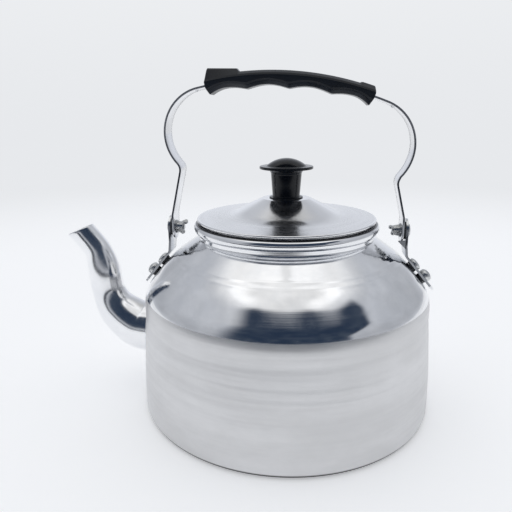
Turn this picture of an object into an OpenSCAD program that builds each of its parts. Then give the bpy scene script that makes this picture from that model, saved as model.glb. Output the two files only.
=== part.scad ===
// Stovetop kettle with a gooseneck spout, a loose lid and a bail handle.
// Millimetres, +Z up. The origin is on the body's axis at the underside of the base.
// The spout points along -X, and the handle's pivots lie on a line along X.

/* [Body] */
// Radius of the wall just above the base
base_r = 104; // [103:0.5:105]
// Radius of the wall where the shoulder starts
wall_top_r = 99; // [98.5:0.5:99.5]
// Rounding between the base and the wall
base_round = 4; // [3:0.5:5]
// Outside radius of the neck
neck_r = 60.4; // [60:0.2:61]
// Thickness of the body's sheet
sheet = 1; // [0.8:0.1:1.2]
// Height of the middle of the rolled rim
rim_z = 127.9; // [127:0.1:129]

/* [Lid] */
// Outside radius of the lid's rolled edge
lid_r = 62.1; // [61.6:0.1:62.4]
// Height of the lid's flat top
lid_top_z = 147.4; // [146:0.2:149]
// Thickness of the lid's sheet
lid_sheet = 0.8; // [0.6:0.1:1]
// Radial gap between the lid's skirt and the neck
skirt_gap = 0.4; // [0.3:0.1:0.8]
// Radius of the knob's cap
knob_r = 18.4; // [16:0.1:20]

/* [Spout] */
// Outside radius of the spout's root
spout_root_r = 19.1; // [18.5:0.1:19.5]
// Thickness of the spout's sheet
spout_sheet = 1.1; // [0.9:0.1:1.4]
// Upward slope of the spout's root, in degrees
spout_rise = 11; // [9:0.5:13]

/* [Handle] */
// Height of the pivot line
pivot_z = 125.4; // [124:0.2:127]
// Width of the handle strap and of the brackets
strap_w = 16; // [15:0.5:17]
// Thickness of the handle strap
strap_t = 1.4; // [1.2:0.1:1.6]
// Radius of the arch that carries the grip
arch_r = 209; // [205:1:215]
// Radius of the strap's two upper bends
bend_r = 30.3; // [29.5:0.1:31]
// Width of the grip
grip_w = 21; // [20:0.5:24]
// Depth of each finger groove
groove_d = 2.1; // [1.4:0.1:2.4]
// Radius of the pivot bolt's shaft
bolt_r = 2; // [1.9:0.05:2.1]

/* [Hidden] */

$fn = 96;
far = 400;
run_gap = 0.05;

// Body profile: a wall that narrows slightly, then a rounded shoulder that rises to the neck.
shoulder_low = [wall_top_r + 1.3, 84.6];
shoulder_high = [82.2, 106.4];
neck_root = [neck_r, 121];
wall_end_z = 83;
rim_half_w = 2.5;
rim_half_h = 3.3;
neck_in_r = neck_r - sheet;
rim_mid_r = neck_in_r + rim_half_w;

// Shoulder frame, seen in the XZ plane: the slope's direction and its outward normal.
shoulder_dir = unit(shoulder_low - shoulder_high);
shoulder_out = [-shoulder_dir[1], shoulder_dir[0]];
seal_t = 1.2;
bracket_t = 1.5;
rivet_r = 2;
rivet_steps = [9.2, 20.2];

// Stack of parts on each pivot bolt, as distances from the axis along X.
strap_out_x = 80.2;
strap_in_x = strap_out_x - strap_t;
strap_end_r = strap_w / 2 + 0.3;
spacer_x = strap_out_x + run_gap;
spacer_t = 1.4;
bracket_in_x = spacer_x + spacer_t;
bracket_out_x = bracket_in_x + bracket_t;
washer_out_x = strap_in_x - run_gap;
washer_t = 0.8;
nut_x = washer_out_x - washer_t;
nut_len = 4;
bolt_end_x = nut_x - nut_len - 1;

// Handle: the arch's centre, and the angles at which the upper bends take over from it.
arch_c = [-12.9, 225.55 - arch_r];
arch_left_a = 102.7;
arch_right_a = 68.2;
left_bend_c = arch_c + (arch_r - bend_r) * dir(arch_left_a);
right_bend_c = arch_c + (arch_r - bend_r) * dir(arch_right_a);
kink_left = [-72.6, 168];
kink_right = [74.4, 158.6];
pad_top_z = 135;

// Grip: its ends along X, its heights above and below the strap's outer face.
grip_x0 = -53.6;
grip_x1 = 56.4;
grip_up = 5.3;
grip_down = 6.2;
fingers = 4;
thumb_end_x = -30.5;
thumb_z = 232;
tail_start_x = 46.5;
tail_up = 6.2;

// Lid: its outer slope, its cone and its rolled edge.
edge_r = 0.95;
edge_z = 133.4;
cone_foot = [39, 136.4];
cone_head = [16.5, lid_top_z];
skirt_r = neck_in_r - skirt_gap;
skirt_low_z = 123;

// Spout: centre line and radius at each station, from the root to the mouth.
root_dir = [-cos(spout_rise), sin(spout_rise)];
root_at = [-101.2, 46.3];
spout_path = [
    point_r(root_at - 6 * root_dir, spout_root_r),
    point_r(root_at, spout_root_r),
    [-114, 49.2, 18],
    [-127.5, 60, 15],
    [-134.2, 74, 12.2],
    [-136.4, 91, 11.7],
    [-140.2, 106, 9.7],
    [-149.2, 118.6, 9.1],
    [-158.5, 128.8, 9.6]
];
spout_lip = [-162.4, 117.8];
mouth_slope = 23;
spout_gap = 0.2;

// Vectors and paths.
function unit(v) = v / norm(v);
function dir(a) = [cos(a), sin(a)];
function left_of(v) = [-v[1], v[0]];
function point_r(p, r) = [p[0], p[1], r];
function reversed(v) = [for (i = [len(v) - 1:-1:0]) v[i]];
function arc(c, r, a0, a1, n) = [for (i = [0:n]) c + r * dir(a0 + (a1 - a0) * i / n)];
function ellipse_arc(c, rx, ry, a0, a1, n) =
    [for (i = [0:n]) let (a = a0 + (a1 - a0) * i / n) c + [rx * cos(a), ry * sin(a)]];

// The arc of radius r that rounds the corner b of the path a-b-c.
function corner(a, b, c, r, n = 8) =
    let (u = unit(a - b), v = unit(c - b), half = acos(u * v) / 2)
    let (mid = b + unit(u + v) * r / sin(half), reach = r / tan(half))
    let (from = b + reach * u - mid, to = b + reach * v - mid)
    let (a0 = atan2(from[1], from[0]), a1 = atan2(to[1], to[0]))
    let (turn = a1 - a0 > 180 ? a1 - a0 - 360 : a1 - a0 < -180 ? a1 - a0 + 360 : a1 - a0)
    arc(mid, r, a0, a0 + turn, n);

// A path with each inner corner rounded by its own radius; 0 keeps the corner sharp.
function rounded(path, radii) = [
    for (i = [0:len(path) - 1])
        each i == 0 || i == len(path) - 1 || radii[i] == 0
            ? [path[i]]
            : corner(path[i - 1], path[i], path[i + 1], radii[i])
];

// A path moved sideways by d, to the left of its direction.
function moved(path, d) = [
    for (i = [0:len(path) - 1])
        let (before = left_of(unit(path[max(i, 1)] - path[max(i, 1) - 1])))
        let (after = left_of(unit(path[min(i + 1, len(path) - 1)] - path[min(i, len(path) - 2)])))
        path[i] + d * (before + after) / (1 + before * after)
];

// The closed outline of a sheet of thickness t that lies to the left of a path.
function band(path, t) = concat(path, reversed(moved(path, t)));

// A smooth curve through the points, with n steps between each two.
function smooth_at(p, i, t) =
    let (a = p[max(i - 1, 0)], b = p[i], c = p[i + 1], d = p[min(i + 2, len(p) - 1)])
    let (square = 2 * a - 5 * b + 4 * c - d, cube = 3 * b - a - 3 * c + d)
    0.5 * (2 * b + (c - a) * t + square * t * t + cube * t * t * t);
function smooth(p, n) = concat(
    [for (i = [0:len(p) - 2], k = [0:n - 1]) smooth_at(p, i, k / n)],
    [p[len(p) - 1]]
);

// Radius of the body's wall at height z.
function wall_r(z) = wall_top_r + (base_r - wall_top_r) * sin(90 * (1 - z / wall_end_z));

// Height of the arch of radius r at x; the strap's outer face is at arch_r.
function arch_z(x, r = arch_r) = arch_c[1] + sqrt(r * r - pow(x - arch_c[0], 2));

// Solids made from outlines in the XZ plane, and pieces set on one side of the body.
module slab(outline, width) {
    translate([0, width / 2, 0]) rotate([90, 0, 0]) linear_extrude(width) polygon(outline);
}

module turned(outline) {
    rotate_extrude($fn = 180) polygon(outline);
}

module on_side(side) {
    mirror([side < 0 ? 1 : 0, 0, 0]) children();
}

// A cylinder along +X, from x0 to x1 on the pivot line.
module pivot_rod(r, x0, x1) {
    translate([x0, 0, pivot_z]) rotate([0, 90, 0]) cylinder(r = r, h = x1 - x0);
}

// Places children on the shoulder with their +Z along its normal, at a step down its slope.
module on_shoulder(step) {
    at = shoulder_high + step * shoulder_dir;
    translate([at[0], 0, at[1]]) rotate([0, 90 - atan2(shoulder_out[1], shoulder_out[0]), 0]) children();
}

// The tool that drills a rivet's hole.
module rivet_hole() {
    cylinder(r = rivet_r + run_gap, h = 12, center = true, $fn = 48);
}

// Places children at the spout's root with their +Z along the spout, pointing out of the body.
module at_spout_root() {
    translate([root_at[0], 0, root_at[1]]) rotate([0, spout_rise - 90, 0]) children();
}

// A solid through rings of points; each ring has the same number of points.
// In a closed loft the rings go out and come back inside, which leaves a tunnel.
module loft(rings, closed = false) {
    n = len(rings[0]);
    last = len(rings) - 1;
    sides = [
        for (i = [0:closed ? last : last - 1], k = [0:n - 1])
            let (j = (i + 1) % (last + 1), m = (k + 1) % n)
            [i * n + k, i * n + m, j * n + m, j * n + k]
    ];
    first_cap = [for (k = [n - 1:-1:0]) k];
    last_cap = [for (k = [0:n - 1]) last * n + k];
    corners = [for (ring = rings) each ring];
    polyhedron(
        points = corners,
        faces = closed ? sides : concat(sides, [first_cap, last_cap]),
        convexity = 6
    );
}

// Rings square to a centre line in the XZ plane; each station is [x, z, radius].
function tube_rings(path, thinner, n = 32) = [
    for (i = [0:len(path) - 1])
        let (before = path[max(i - 1, 0)], after = path[min(i + 1, len(path) - 1)])
        let (along = unit([after[0] - before[0], after[1] - before[1]]), r = path[i][2] - thinner)
        [for (k = [0:n - 1])
            let (a = 360 * k / n)
            [path[i][0] + along[1] * r * cos(a), -r * sin(a), path[i][1] - along[0] * r * cos(a)]]
];

// Body: base, wall, shoulder, neck and rolled rim in one drawn piece.
body_outline = rounded(
    concat(
        [[0, 0], [base_r, 0]],
        [for (z = [6:7:69]) [wall_r(z), z]],
        [shoulder_low, shoulder_high, neck_root, [neck_r, rim_z - 2.64]]
    ),
    concat([0, base_round], [for (z = [6:7:69]) 0], [22, 80, 2, 0])
);
rim_start_a = -acos((neck_r - rim_mid_r) / rim_half_w);

module body_shell() {
    color("lightgray") difference() {
        turned(concat(
            body_outline,
            ellipse_arc([rim_mid_r, rim_z], rim_half_w, rim_half_h, rim_start_a, 180, 30),
            reversed(moved(body_outline, sheet))
        ));
        at_spout_root() cylinder(r = spout_root_r + spout_gap, h = 40, center = true);
        for (side = [-1, 1], step = rivet_steps) {
            on_side(side) on_shoulder(step) rivet_hole();
        }
    }
}

// Spout: a hollow gooseneck, cut off at the mouth by a sloping plane.
module spout() {
    line = smooth(spout_path, 4);
    bore_start = point_r(root_at - 9 * root_dir, spout_root_r);
    bore_end = line[len(line) - 1] + [-3, 3, 0];
    color("silver") difference() {
        loft(tube_rings(line, 0));
        loft(tube_rings(concat([bore_start], line, [bore_end]), spout_sheet));
        translate([spout_lip[0], 0, spout_lip[1]]) rotate([0, -mouth_slope, 0]) {
            translate([-30, -30, 0]) cube(60);
        }
    }
}

// A ring round the spout's root that follows the wall, between two distances outside it.
module wall_ring(near_d, far_d, width) {
    heights = [4:8:wall_end_z];
    near_line = [for (z = heights) [wall_r(z) + near_d, z]];
    far_line = [for (z = heights) [wall_r(z) + far_d, z]];
    intersection() {
        turned(concat(far_line, reversed(near_line)));
        at_spout_root() difference() {
            cylinder(r = spout_root_r + spout_gap + width, h = 40, center = true);
            cylinder(r = spout_root_r + spout_gap, h = 50, center = true);
        }
    }
}

module spout_collar() {
    color("gainsboro") wall_ring(0.05, 1.25, 2.2);
}

module spout_lock_ring() {
    color("gainsboro") wall_ring(-sheet - 1.1, -sheet - 0.1, 3.2);
}

// Lid: shallow outer slope, cone, flat top and a rolled edge.
lid_outline = rounded(
    [[lid_r - edge_r, edge_z + edge_r], cone_foot, cone_head, [2.2, lid_top_z]],
    [0, 30, 4, 0]
);

module lid_shell() {
    color("lightgray") rotate_extrude($fn = 180) {
        polygon(band(lid_outline, lid_sheet));
        translate([lid_r - edge_r, edge_z]) circle(r = edge_r, $fn = 32);
    }
}

// The skirt fits inside the neck, and its ledge rests on the body's rolled rim.
module lid_skirt() {
    seat_z = edge_z + edge_r - lid_sheet;
    ledge_r = lid_r - 2 * edge_r - 0.1;
    ledge_z = rim_z + rim_half_h * sqrt(1 - pow((rim_mid_r - ledge_r) / rim_half_w, 2)) + 0.05;
    side = [[skirt_r, skirt_low_z], [skirt_r, ledge_z], [ledge_r, ledge_z]];
    top = [[ledge_r, seat_z - 0.05], [52, seat_z + 0.7]];
    color("gainsboro") turned(band(rounded(concat(side, top), [0, 0.3, 0, 0, 0]), lid_sheet));
}

// Knob: thin foot flange, tapered stem, flared brim and a smaller dome, with a blind hole for its screw.
// Its heights are counted from the lid's flat top.
module lid_knob() {
    brim_z = 20.3;
    flare_r = 4;
    dome_r = 20.9;
    dome_top_z = 26.9;
    color([0.08, 0.08, 0.09]) translate([0, 0, lid_top_z]) difference() {
        turned(concat(
            [[0, 0], [11.6, 0], [11.6, 0.7], [9.4, 0.9]],
            arc([10.5 + flare_r, brim_z - 0.7 - flare_r], flare_r, 180, 94, 12),
            [[knob_r - 0.3, brim_z - 0.6], [knob_r, brim_z], [knob_r, brim_z + 0.7]],
            [[knob_r - 0.4, brim_z + 1.3], [14.6, brim_z + 1.2]],
            arc([0, dome_top_z - dome_r], dome_r, 49, 90, 14)
        ));
        translate([0, 0, -1]) cylinder(r = bolt_r + run_gap, h = 14, $fn = 48);
    }
}

module knob_washer() {
    color("silver") translate([0, 0, lid_top_z - lid_sheet - 1]) difference() {
        cylinder(r = 7, h = 1);
        translate([0, 0, -1]) cylinder(r = bolt_r + 0.15, h = 3, $fn = 48);
    }
}

module knob_screw() {
    head_top = lid_top_z - lid_sheet - 1;
    color("silver") difference() {
        union() {
            translate([0, 0, head_top - 2.4]) cylinder(r1 = 3.2, r2 = 3.8, h = 2.4, $fn = 48);
            translate([0, 0, head_top]) cylinder(r = bolt_r, h = 12, $fn = 48);
        }
        translate([-3, -0.5, head_top - 3]) cube([6, 1, 1.6]);
    }
}

// Handle strap: two flat pads at the pivots, straight arms, round bends and the arch of the grip.
strap_path = rounded(
    concat(
        [[-strap_out_x, pivot_z - 10], [-strap_out_x, pad_top_z], kink_left],
        arc(left_bend_c, bend_r, 222, arch_left_a, 20),
        arc(arch_c, arch_r, arch_left_a - 2, arch_right_a + 2, 32),
        arc(right_bend_c, bend_r, arch_right_a, -42, 20),
        [kink_right, [strap_out_x, pad_top_z], [strap_out_x, pivot_z - 10]]
    ),
    concat([0, 12, 3], [for (i = [0:74]) 0], [3, 12, 0])
);

module handle_strap() {
    bumps = [for (a = [arch_left_a + 4, arch_right_a - 9]) a];
    color("lightgray") difference() {
        union() {
            intersection() {
                slab(band(strap_path, -strap_t), strap_w);
                union() {
                    translate([-far / 2, -far / 2, pivot_z]) cube(far);
                    pivot_rod(strap_end_r, -far / 2, far / 2);
                }
            }
            grip_stop(left_bend_c, bumps[0]);
            grip_stop(right_bend_c, bumps[1]);
        }
        pivot_rod(bolt_r + run_gap, -far / 2, far / 2);
    }
}

// A pressed bump on the strap's inner face that keeps the grip from sliding.
module grip_stop(bend_c, a) {
    at = bend_c + (bend_r - strap_t + 0.5) * dir(a);
    translate([at[0], 0, at[1]]) sphere(r = 1.6, $fn = 32);
}

// Grip: crowned on top, bevelled below, with four finger grooves, a thumb block and a raised tail.
// Its end faces lean inwards above and below the strap.
function grip_top(x) =
    x < thumb_end_x ? thumb_z - 0.02 * (x - thumb_end_x)
    : x > tail_start_x ? arch_z(x) + tail_up
    : arch_z(x) + grip_up;
function grip_bottom(x) =
    arch_z(x) - grip_down + groove_d * abs(sin(180 * fingers * (x - grip_x0) / (grip_x1 - grip_x0)));
function grip_lean(x, z) =
    let (left = max(0, 1 - (x - grip_x0) / 12), right = max(0, 1 - (grip_x1 - x) / 12))
    let (below = max(0, arch_z(x) - z), above = max(0, z - arch_z(x)))
    left * (0.5 * below + 0.12 * above) - right * 0.6 * below;
function grip_ring(x, inset) =
    let (low = grip_bottom(x) + inset, top = grip_top(x) - inset)
    let (edge = min(arch_z(x) + 3.1, top - 1.4), w = grip_w / 2 - inset)
    let (lower = [[w - 4, low], [w - 0.8, low + 2.2], [w, low + 3.6]])
    let (upper = [[w, edge - 1.4], [w - 1, edge], [w - 5, top - 0.4]])
    [for (p = cross_ring(x, concat(lower, upper), low, top)) p + [grip_lean(x, p[2]), 0, 0]];

// The tunnel through the grip, which the strap fills.
function slot_ring(x) =
    let (low = arch_z(x, arch_r - strap_t) - 0.03, top = arch_z(x) + 0.03, w = strap_w / 2 + 0.03)
    let (side = [for (z = [low, low + strap_t / 3, top - strap_t / 3, top]) [w, z]])
    cross_ring(x, concat([[w / 2, low]], side, [[w / 2, top]]), low, top);

// A ring square to X, from the outline of its half that ends at y = 0.
function cross_ring(x, half, low, top) = concat(
    [for (p = half) [x, -p[0], p[1]]],
    [[x, 0, top]],
    [for (p = reversed(half)) [x, p[0], p[1]]],
    [[x, 0, low]]
);

module handle_grip() {
    end = 0.8;
    step = (grip_x1 - grip_x0 - 2 * end) / 64;
    stations = [for (i = [0:64]) grip_x0 + end + i * step];
    color([0.07, 0.07, 0.08]) loft(concat(
        [grip_ring(grip_x0, end)],
        [for (x = stations) grip_ring(x, 0)],
        [grip_ring(grip_x1, end), slot_ring(grip_x1)],
        [for (x = reversed(stations)) slot_ring(x)],
        [slot_ring(grip_x0)]
    ), closed = true);
}

// Bracket: a pad at the pivot, then a tab that lies along the shoulder over the seals.
bracket_bend_x = 82.5;
tab_line = shoulder_high + seal_t * shoulder_out;
bend_step = (bracket_bend_x - tab_line[0]) / shoulder_dir[0];
tab_end_step = 31.5;
bracket_path = rounded(
    [
        [bracket_in_x, pivot_z + 10],
        [bracket_in_x, pivot_z - 10],
        tab_line + bend_step * shoulder_dir,
        tab_line + tab_end_step * shoulder_dir
    ],
    [0, 8, 2.5, 0]
);

module bracket(side) {
    on_side(side) difference() {
        intersection() {
            slab(band(bracket_path, bracket_t), strap_w);
            union() {
                pivot_rod(strap_end_r, 0, far);
                difference() {
                    translate([0, -far / 2, pivot_z - far]) cube(far);
                    on_shoulder(tab_end_step - strap_end_r) translate([0, -far / 2, -far / 2]) cube(far);
                }
                on_shoulder(tab_end_step - strap_end_r) cylinder(r = strap_end_r, h = 40, center = true);
            }
        }
        pivot_rod(bolt_r + run_gap, 0, far);
        for (step = rivet_steps) {
            on_shoulder(step) rivet_hole();
        }
    }
}

module bracket_left() {
    color("silver") bracket(-1);
}

// The right bracket also has a triangular stop, folded inwards at its front edge.
module bracket_right() {
    stop_z = pivot_z - 5.8;
    stop_t = 1.2;
    color("silver") union() {
        bracket(1);
        translate([0, (stop_t - strap_w) / 2, 0]) slab([
            [bracket_in_x + 0.5, stop_z],
            [bracket_in_x - 5.4, stop_z],
            [bracket_in_x + 0.5, stop_z - 6]
        ], stop_t);
    }
}

// Rivet: domed head outside, shaft through bracket, seal and body, formed tail inside.
burr_t = 0.8;
burr_gap = 0.5;
module rivet(side, step, head_h) {
    outside = seal_t + bracket_t;
    inside = -sheet - burr_gap - burr_t;
    head_r = 4.6;
    on_side(side) on_shoulder(step) {
        translate([0, 0, inside - 1.2]) cylinder(r1 = 2.6, r2 = 3.2, h = 1.2, $fn = 48);
        translate([0, 0, inside]) cylinder(r = rivet_r, h = outside - inside, $fn = 48);
        translate([0, 0, outside]) rotate_extrude($fn = 64) polygon(concat(
            [[0, 0], [head_r, 0]],
            ellipse_arc([0, head_h * 0.35], head_r, head_h * 0.65, 0, 90, 10)
        ));
    }
}

module rivet_left_upper() {
    color("darkgray") rivet(-1, rivet_steps[0], 2.6);
}

module rivet_left_lower() {
    color("darkgray") rivet(-1, rivet_steps[1], 4.4);
}

module rivet_right_upper() {
    color("darkgray") rivet(1, rivet_steps[0], 2.6);
}

module rivet_right_lower() {
    color("darkgray") rivet(1, rivet_steps[1], 4.4);
}

// A flat washer on the shoulder's normal, between two distances outside the body.
module shoulder_washer(side, step, r, low, high) {
    on_side(side) on_shoulder(step) translate([0, 0, low]) difference() {
        cylinder(r = r, h = high - low, $fn = 48);
        translate([0, 0, -1]) cylinder(r = rivet_r + run_gap, h = high - low + 2, $fn = 48);
    }
}

module seal(side, step) {
    color("dimgray") shoulder_washer(side, step, 4, 0.01, seal_t - 0.01);
}

module seal_left_upper() {
    seal(-1, rivet_steps[0]);
}

module seal_left_lower() {
    seal(-1, rivet_steps[1]);
}

module seal_right_upper() {
    seal(1, rivet_steps[0]);
}

module seal_right_lower() {
    seal(1, rivet_steps[1]);
}

module burr(side, step) {
    color("gainsboro") shoulder_washer(side, step, 4, -sheet - burr_gap - burr_t, -sheet - burr_gap);
}

module burr_left_upper() {
    burr(-1, rivet_steps[0]);
}

module burr_left_lower() {
    burr(-1, rivet_steps[1]);
}

module burr_right_upper() {
    burr(1, rivet_steps[0]);
}

module burr_right_lower() {
    burr(1, rivet_steps[1]);
}

// Pivot bolt: domed head outside the bracket, shaft pointing at the kettle's axis.
module pivot_bolt(side) {
    head_r = 5.2;
    head_h = 2.4;
    color("darkgray") on_side(side) {
        pivot_rod(bolt_r, bolt_end_x, bracket_out_x);
        translate([bracket_out_x, 0, pivot_z]) rotate([0, 90, 0]) rotate_extrude($fn = 64) polygon(concat(
            [[0, 0], [head_r, 0]],
            ellipse_arc([0, 0.5], head_r, head_h - 0.5, 0, 90, 12)
        ));
    }
}

module pivot_bolt_left() {
    pivot_bolt(-1);
}

module pivot_bolt_right() {
    pivot_bolt(1);
}

// A washer on the pivot line between two distances from the kettle's axis.
module pivot_ring(side, r, x0, x1) {
    on_side(side) difference() {
        pivot_rod(r, x0, x1);
        pivot_rod(bolt_r + run_gap, x0 - 1, x1 + 1);
    }
}

module spacer_left() {
    color("dimgray") pivot_ring(-1, 6, spacer_x, bracket_in_x);
}

module spacer_right() {
    color("dimgray") pivot_ring(1, 6, spacer_x, bracket_in_x);
}

module pivot_washer_left() {
    color("silver") pivot_ring(-1, 4.8, nut_x, washer_out_x);
}

module pivot_washer_right() {
    color("silver") pivot_ring(1, 4.8, nut_x, washer_out_x);
}

// Wing nut: a tapered hub and two rounded wings that lean away from the washer.
module wing_nut(side, wing_tilt) {
    color("gray") on_side(side) translate([nut_x, 0, pivot_z]) rotate([wing_tilt, 0, 0]) rotate([0, -90, 0]) {
        difference() {
            union() {
                cylinder(r1 = 4.1, r2 = 3.3, h = nut_len);
                rotate([90, 0, 0]) wing();
                rotate([90, 0, 180]) wing();
            }
            translate([0, 0, -1]) cylinder(r = bolt_r + run_gap, h = nut_len + 4);
        }
    }
}

// One wing, in the plane of its outline.
module wing() {
    wing_t = 1.8;
    tip_r = 1.9;
    tip = [5.4, 4.4];
    translate([0, 0, -wing_t / 2]) linear_extrude(wing_t) {
        polygon([[2.6, 0.2], [3.9, 0.2], tip + [tip_r, 0], tip + [-tip_r, 0.3], [2.6, 3.6]]);
        translate(tip) circle(r = tip_r, $fn = 32);
    }
}

module wing_nut_left() {
    wing_nut(-1, 118);
}

module wing_nut_right() {
    wing_nut(1, 100);
}

body_shell();
spout();
spout_collar();
spout_lock_ring();
lid_shell();
lid_skirt();
lid_knob();
knob_washer();
knob_screw();
handle_strap();
handle_grip();
bracket_left();
bracket_right();
rivet_left_upper();
rivet_left_lower();
rivet_right_upper();
rivet_right_lower();
seal_left_upper();
seal_left_lower();
seal_right_upper();
seal_right_lower();
burr_left_upper();
burr_left_lower();
burr_right_upper();
burr_right_lower();
pivot_bolt_left();
pivot_bolt_right();
spacer_left();
spacer_right();
pivot_washer_left();
pivot_washer_right();
wing_nut_left();
wing_nut_right();
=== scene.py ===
"""Looks for the stovetop kettle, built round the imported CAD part.
Outlines are in millimetres, and the scene, the materials and the camera are in metres."""

import math

import bmesh
import bpy
import numpy as np
from mathutils import Matrix, Vector


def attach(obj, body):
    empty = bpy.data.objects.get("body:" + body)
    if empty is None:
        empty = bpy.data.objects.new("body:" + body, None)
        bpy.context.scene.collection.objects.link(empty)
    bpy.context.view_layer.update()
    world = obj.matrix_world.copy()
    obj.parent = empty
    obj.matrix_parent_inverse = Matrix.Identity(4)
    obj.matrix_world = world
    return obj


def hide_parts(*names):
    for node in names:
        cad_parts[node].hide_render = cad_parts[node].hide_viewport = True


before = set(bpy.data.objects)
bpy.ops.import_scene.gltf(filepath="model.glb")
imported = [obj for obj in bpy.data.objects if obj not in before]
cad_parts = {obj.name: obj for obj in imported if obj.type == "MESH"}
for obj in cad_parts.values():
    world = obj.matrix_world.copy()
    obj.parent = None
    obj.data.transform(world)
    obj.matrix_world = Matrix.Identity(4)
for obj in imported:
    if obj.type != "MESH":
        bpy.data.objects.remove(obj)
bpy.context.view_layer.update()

MM = 0.001
TAU = 2 * math.pi


# ---------------------------------------------------------------- sizes (millimetres)

BASE_R, WALL_TOP_R, WALL_END_Z = 104.0, 99.0, 83.0
NECK_R, RIM_Z, SHEET = 60.4, 127.9, 1.0
LID_R, LID_TOP_Z, LID_SHEET = 62.1, 147.4, 0.8
EDGE_R, EDGE_Z = 0.95, 133.4
CONE_FOOT, CONE_HEAD = (39, 136.4), (16.5, LID_TOP_Z)
STRAP_W = 16.0
HOLE_R, GAP = 2.05, 0.05


# ---------------------------------------------------------------- outlines (millimetres)

def unit(v):
    return np.array(v, float) / np.linalg.norm(v)


def direction(degrees):
    return np.array([math.cos(math.radians(degrees)), math.sin(math.radians(degrees))])


def left_of(v):
    return np.array([-v[1], v[0]])


def arc(centre, rx, ry, a0, a1, n):
    """Points on an ellipse's arc, from a0 to a1 degrees."""
    turns = [a0 + (a1 - a0) * i / n for i in range(n + 1)]
    return [np.array(centre) + np.array([rx, ry]) * direction(a) for a in turns]


def corner(a, b, c, r, n):
    """The arc of radius r that rounds the corner b of a-b-c."""
    u, v = unit(a - b), unit(c - b)
    half = math.acos(max(-1.0, min(1.0, float(u @ v)))) / 2
    mid = b + unit(u + v) * r / math.sin(half)
    reach = r / math.tan(half)
    start, end = b + reach * u - mid, b + reach * v - mid
    a0 = math.degrees(math.atan2(start[1], start[0]))
    turn = math.degrees(math.atan2(end[1], end[0])) - a0
    turn = (turn + 180) % 360 - 180
    return arc(mid, r, r, a0, a0 + turn, n)


def rounded(path, radii, n=10):
    """The path with each inner corner rounded by its own radius; 0 keeps it sharp."""
    path = [np.array(p, float) for p in path]
    out = [path[0]]
    for before, at, after, r in zip(path, path[1:], path[2:], radii):
        out += corner(before, at, after, r, n) if r else [at]
    return out + [path[-1]]


def dense(path, step):
    """The path with points added, so that none of its steps is longer than step."""
    out = [np.array(path[0], float)]
    for a, b in zip(path, path[1:]):
        n = max(1, math.ceil(np.linalg.norm(np.array(b) - a) / step))
        out += [a + (np.array(b) - a) * k / n for k in range(1, n + 1)]
    return out


def steps_of(path):
    """The length of each of the path's steps."""
    points = [np.array(p, float) for p in path]
    return [float(np.linalg.norm(b - a)) for a, b in zip(points, points[1:])]


def moved(path, d):
    """The path moved sideways by d, to the left of its direction."""
    out = []
    for i, p in enumerate(path):
        before = left_of(unit(path[max(i, 1)] - path[max(i, 1) - 1]))
        after = left_of(unit(path[min(i + 1, len(path) - 1)] - path[min(i, len(path) - 2)]))
        out.append(p + d * (before + after) / (1 + before @ after))
    return out


def smooth(points, n):
    """A Catmull-Rom curve through the points, with n steps between each two."""
    p = np.array(points, float)
    out = []
    for i in range(len(p) - 1):
        a, b, c, d = p[max(i - 1, 0)], p[i], p[i + 1], p[min(i + 2, len(p) - 1)]
        for k in range(n):
            t = k / n
            square, cube = 2 * a - 5 * b + 4 * c - d, 3 * b - a - 3 * c + d
            out.append(0.5 * (2 * b + (c - a) * t + square * t * t + cube * t ** 3))
    return out + [p[-1]]


# ---------------------------------------------------------------- meshes

def new_object(name, data):
    obj = bpy.data.objects.new(name, data)
    bpy.context.scene.collection.objects.link(obj)
    return obj


def mesh_object(name, verts, faces, uvs=None, sharp=35):
    """A smooth-shaded mesh object; verts are in millimetres. uvs is one pair per vertex."""
    mesh = bpy.data.meshes.new(name)
    mesh.from_pydata([Vector(v) * MM for v in verts], [], faces)
    bm = bmesh.new()
    bm.from_mesh(mesh)
    bmesh.ops.recalc_face_normals(bm, faces=bm.faces)
    if uvs is not None:
        layer = bm.loops.layers.uv.new("UVMap")
        for face in bm.faces:
            around = [uvs[loop.vert.index][0] for loop in face.loops]
            wraps = max(around) - min(around) > 0.5
            for loop, u in zip(face.loops, around):
                loop[layer].uv = (u + 1 if wraps and u < 0.5 else u, uvs[loop.vert.index][1])
    bm.to_mesh(mesh)
    bm.free()
    mesh.shade_smooth()
    mesh.set_sharp_from_angle(angle=math.radians(sharp))
    return new_object(name, mesh)


def lathe(name, outline, sides=128, sharp=35, shape=None):
    """Spins a closed outline of (radius, height) about Z. shape(radius, height, turn) may change a radius."""
    verts, rows, uvs = [], [], []
    length = np.cumsum([0.0, *steps_of(outline)])
    for (r, z), s in zip(outline, length):
        if r < 1e-6:
            rows.append([len(verts)] * sides)
            verts.append((0, 0, z))
            uvs.append((0, s))
            continue
        rows.append(range(len(verts), len(verts) + sides))
        for k in range(sides):
            turn = TAU * k / sides
            radius = shape(r, z, turn) if shape else r
            verts.append((radius * math.cos(turn), radius * math.sin(turn), z))
            uvs.append((k / sides, s))
    faces = []
    for i in range(len(rows)):
        low, high = rows[i], rows[(i + 1) % len(rows)]
        for k in range(sides):
            m = (k + 1) % sides
            face = list(dict.fromkeys([low[k], low[m], high[m], high[k]]))
            if len(face) > 2:
                faces.append(face)
    return mesh_object(name, verts, faces, uvs, sharp)


def loft(name, rings, closed=False, sharp=35):
    """A surface through rings of 3-D points, capped at both ends, or joined end to end when closed."""
    n, count = len(rings[0]), len(rings)
    verts = [tuple(p) for ring in rings for p in ring]
    uvs = [(k / n, i / count) for i in range(count) for k in range(n)]
    faces = []
    for i in range(count if closed else count - 1):
        for k in range(n):
            j, m = (i + 1) % count, (k + 1) % n
            faces.append([i * n + k, i * n + m, j * n + m, j * n + k])
    if not closed:
        faces += [list(range(n)), list(range((count - 1) * n, count * n))]
    return mesh_object(name, verts, faces, uvs, sharp)


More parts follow.
